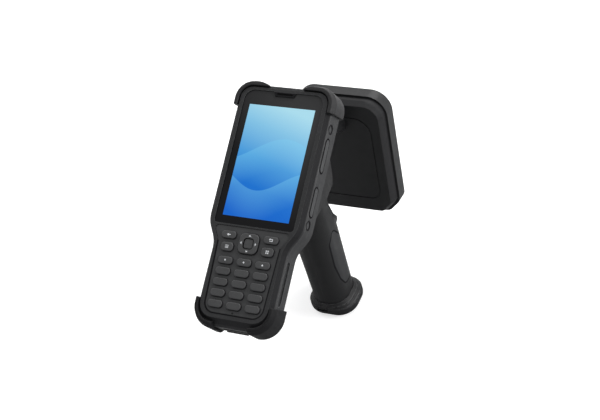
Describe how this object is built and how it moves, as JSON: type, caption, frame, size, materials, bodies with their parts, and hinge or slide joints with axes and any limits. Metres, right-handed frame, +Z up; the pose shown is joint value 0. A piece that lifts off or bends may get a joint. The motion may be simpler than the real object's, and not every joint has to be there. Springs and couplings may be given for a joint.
{
  "type": "rfid mobile computer",
  "caption": "Rugged handheld touch terminal with a rubber keypad on a pistol grip with a trigger, and a square antenna panel in front of the grip.",
  "frame": {"origin": "centre of the flat foot of the grip's boot, which the object stands on", "axes": "+Z up along the grip, +Y forward from the user towards the antenna, +X to the user's right"},
  "size_m": [0.08, 0.2312, 0.2097],
  "materials": {
    "housing_plastic": "fine textured charcoal",
    "keypad_plastic": "satin black",
    "display_glass": "polished, black printed border",
    "display_module": "lit blue screen in a black frame",
    "mesh_metal": "dark woven mesh",
    "dome_mat": "matte",
    "circuit_board": "solder mask",
    "battery_wrap": "wrapped cell",
    "bumper_rubber": "matte moulded rubber",
    "window_glass": "polished dark",
    "scan_glass": "polished dark red",
    "engine_metal": "cast, grey",
    "port_metal": "plated",
    "gun_plastic": "fine textured charcoal",
    "grip_rubber": "matte moulded rubber",
    "pin_metal": "ground",
    "spring_metal": "drawn wire",
    "switch_plastic": "moulded black",
    "antenna_plastic": "fine textured charcoal",
    "patch_metal": "etched sheet",
    "screw_metal": "blackened",
    "key_rubber": "satin coated rubber",
    "side_key_rubber": "satin",
    "trigger_plastic": "satin black"
  },
  "bodies": {
    "body": {"front_housing": "housing_plastic", "keypad_plate": "keypad_plastic", "touch_glass": "display_glass", "display_panel": "display_module", "earpiece_mesh": "mesh_metal", "keypad_mat": "dome_mat", "keypad_board": "circuit_board", "main_board": "circuit_board", "terminal_battery": "battery_wrap", "rear_housing": "housing_plastic", "battery_cover": "housing_plastic", "top_bumpers": "bumper_rubber", "bottom_bumpers": "bumper_rubber", "camera_window": "window_glass", "scan_window": "scan_glass", "scan_engine": "engine_metal", "usb_port": "port_metal", "side_plugs": "bumper_rubber", "cradle": "gun_plastic", "grip_left": "gun_plastic", "grip_right": "gun_plastic", "grip_strap": "grip_rubber", "trigger_pin": "pin_metal", "trigger_spring": "spring_metal", "trigger_switch": "switch_plastic", "gun_battery": "battery_wrap", "grip_boot": "grip_rubber", "antenna_arm": "gun_plastic", "antenna_rear_cover": "antenna_plastic", "antenna_radome": "antenna_plastic", "patch_antenna": "patch_metal", "reader_board": "circuit_board", "screws": "screw_metal"},
    "soft_key_1": {"soft_key_1": "key_rubber"},
    "soft_key_2": {"soft_key_2": "key_rubber"},
    "soft_key_3": {"soft_key_3": "key_rubber"},
    "soft_key_4": {"soft_key_4": "key_rubber"},
    "function_key_1": {"function_key_1": "key_rubber"},
    "function_key_2": {"function_key_2": "key_rubber"},
    "function_key_3": {"function_key_3": "key_rubber"},
    "number_key_1": {"number_key_1": "key_rubber"},
    "number_key_2": {"number_key_2": "key_rubber"},
    "number_key_3": {"number_key_3": "key_rubber"},
    "number_key_4": {"number_key_4": "key_rubber"},
    "number_key_5": {"number_key_5": "key_rubber"},
    "number_key_6": {"number_key_6": "key_rubber"},
    "number_key_7": {"number_key_7": "key_rubber"},
    "number_key_8": {"number_key_8": "key_rubber"},
    "number_key_9": {"number_key_9": "key_rubber"},
    "number_key_10": {"number_key_10": "key_rubber"},
    "number_key_11": {"number_key_11": "key_rubber"},
    "number_key_12": {"number_key_12": "key_rubber"},
    "ok_key": {"ok_key": "key_rubber"},
    "nav_actuator": {"nav_actuator": "switch_plastic"},
    "nav_ring": {"nav_ring": "key_rubber"},
    "side_key_upper": {"side_key_upper": "side_key_rubber"},
    "side_key_lower": {"side_key_lower": "side_key_rubber"},
    "side_key_left": {"side_key_left": "side_key_rubber"},
    "trigger": {"trigger": "trigger_plastic"},
    "usb_flap": {"usb_flap": "bumper_rubber"}
  },
  "joints": [
    {"name": "soft_key_1_press", "type": "slide", "parent": "body", "child": "soft_key_1", "axis": [0, 0.4955, -0.8686], "range_m": [0, 0.0005], "stiffness_N_per_m": 1600},
    {"name": "soft_key_2_press", "type": "slide", "parent": "body", "child": "soft_key_2", "axis": [0, 0.4955, -0.8686], "range_m": [0, 0.0005], "stiffness_N_per_m": 1600},
    {"name": "soft_key_3_press", "type": "slide", "parent": "body", "child": "soft_key_3", "axis": [0, 0.4955, -0.8686], "range_m": [0, 0.0005], "stiffness_N_per_m": 1600},
    {"name": "soft_key_4_press", "type": "slide", "parent": "body", "child": "soft_key_4", "axis": [0, 0.4955, -0.8686], "range_m": [0, 0.0005], "stiffness_N_per_m": 1600},
    {"name": "function_key_1_press", "type": "slide", "parent": "body", "child": "function_key_1", "axis": [0, 0.4955, -0.8686], "range_m": [0, 0.0005], "stiffness_N_per_m": 1600},
    {"name": "function_key_2_press", "type": "slide", "parent": "body", "child": "function_key_2", "axis": [0, 0.4955, -0.8686], "range_m": [0, 0.0005], "stiffness_N_per_m": 1600},
    {"name": "function_key_3_press", "type": "slide", "parent": "body", "child": "function_key_3", "axis": [0, 0.4955, -0.8686], "range_m": [0, 0.0005], "stiffness_N_per_m": 1600},
    {"name": "number_key_1_press", "type": "slide", "parent": "body", "child": "number_key_1", "axis": [0, 0.4955, -0.8686], "range_m": [0, 0.0005], "stiffness_N_per_m": 1600},
    {"name": "number_key_2_press", "type": "slide", "parent": "body", "child": "number_key_2", "axis": [0, 0.4955, -0.8686], "range_m": [0, 0.0005], "stiffness_N_per_m": 1600},
    {"name": "number_key_3_press", "type": "slide", "parent": "body", "child": "number_key_3", "axis": [0, 0.4955, -0.8686], "range_m": [0, 0.0005], "stiffness_N_per_m": 1600},
    {"name": "number_key_4_press", "type": "slide", "parent": "body", "child": "number_key_4", "axis": [0, 0.4955, -0.8686], "range_m": [0, 0.0005], "stiffness_N_per_m": 1600},
    {"name": "number_key_5_press", "type": "slide", "parent": "body", "child": "number_key_5", "axis": [0, 0.4955, -0.8686], "range_m": [0, 0.0005], "stiffness_N_per_m": 1600},
    {"name": "number_key_6_press", "type": "slide", "parent": "body", "child": "number_key_6", "axis": [0, 0.4955, -0.8686], "range_m": [0, 0.0005], "stiffness_N_per_m": 1600},
    {"name": "number_key_7_press", "type": "slide", "parent": "body", "child": "number_key_7", "axis": [0, 0.4955, -0.8686], "range_m": [0, 0.0005], "stiffness_N_per_m": 1600},
    {"name": "number_key_8_press", "type": "slide", "parent": "body", "child": "number_key_8", "axis": [0, 0.4955, -0.8686], "range_m": [0, 0.0005], "stiffness_N_per_m": 1600},
    {"name": "number_key_9_press", "type": "slide", "parent": "body", "child": "number_key_9", "axis": [0, 0.4955, -0.8686], "range_m": [0, 0.0005], "stiffness_N_per_m": 1600},
    {"name": "number_key_10_press", "type": "slide", "parent": "body", "child": "number_key_10", "axis": [0, 0.4955, -0.8686], "range_m": [0, 0.0005], "stiffness_N_per_m": 1600},
    {"name": "number_key_11_press", "type": "slide", "parent": "body", "child": "number_key_11", "axis": [0, 0.4955, -0.8686], "range_m": [0, 0.0005], "stiffness_N_per_m": 1600},
    {"name": "number_key_12_press", "type": "slide", "parent": "body", "child": "number_key_12", "axis": [0, 0.4955, -0.8686], "range_m": [0, 0.0005], "stiffness_N_per_m": 1600},
    {"name": "ok_key_press", "type": "slide", "parent": "body", "child": "ok_key", "axis": [0, 0.4955, -0.8686], "range_m": [0, 0.0005], "stiffness_N_per_m": 1600},
    {"name": "nav_up_down", "type": "hinge", "parent": "body", "child": "nav_actuator", "pos_m": [0, -0.08511, 0.14774], "axis": [1, 0, 0], "range_deg": [-3, 3], "stiffness_Nm_per_rad": 0.2},
    {"name": "nav_left_right", "type": "hinge", "parent": "nav_actuator", "child": "nav_ring", "pos_m": [0, -0.08511, 0.14774], "axis": [0, 0.8686, 0.4955], "range_deg": [-3, 3], "stiffness_Nm_per_rad": 0.2},
    {"name": "side_key_upper_press", "type": "slide", "parent": "body", "child": "side_key_upper", "axis": [-1, 0, 0], "range_m": [0, 0.0005], "stiffness_N_per_m": 2000},
    {"name": "side_key_lower_press", "type": "slide", "parent": "body", "child": "side_key_lower", "axis": [-1, 0, 0], "range_m": [0, 0.0005], "stiffness_N_per_m": 2000},
    {"name": "side_key_left_press", "type": "slide", "parent": "body", "child": "side_key_left", "axis": [1, 0, 0], "range_m": [0, 0.0005], "stiffness_N_per_m": 2000},
    {"name": "trigger_pull", "type": "hinge", "parent": "body", "child": "trigger", "pos_m": [0, 0.003, 0.113], "axis": [-1, 0, 0], "range_deg": [0, 12], "stiffness_Nm_per_rad": 0.3},
    {"name": "usb_flap_hinge", "type": "hinge", "parent": "body", "child": "usb_flap", "pos_m": [0, -0.13066, 0.10639], "axis": [1, 0, 0], "range_deg": [0, 110]}
  ]
}
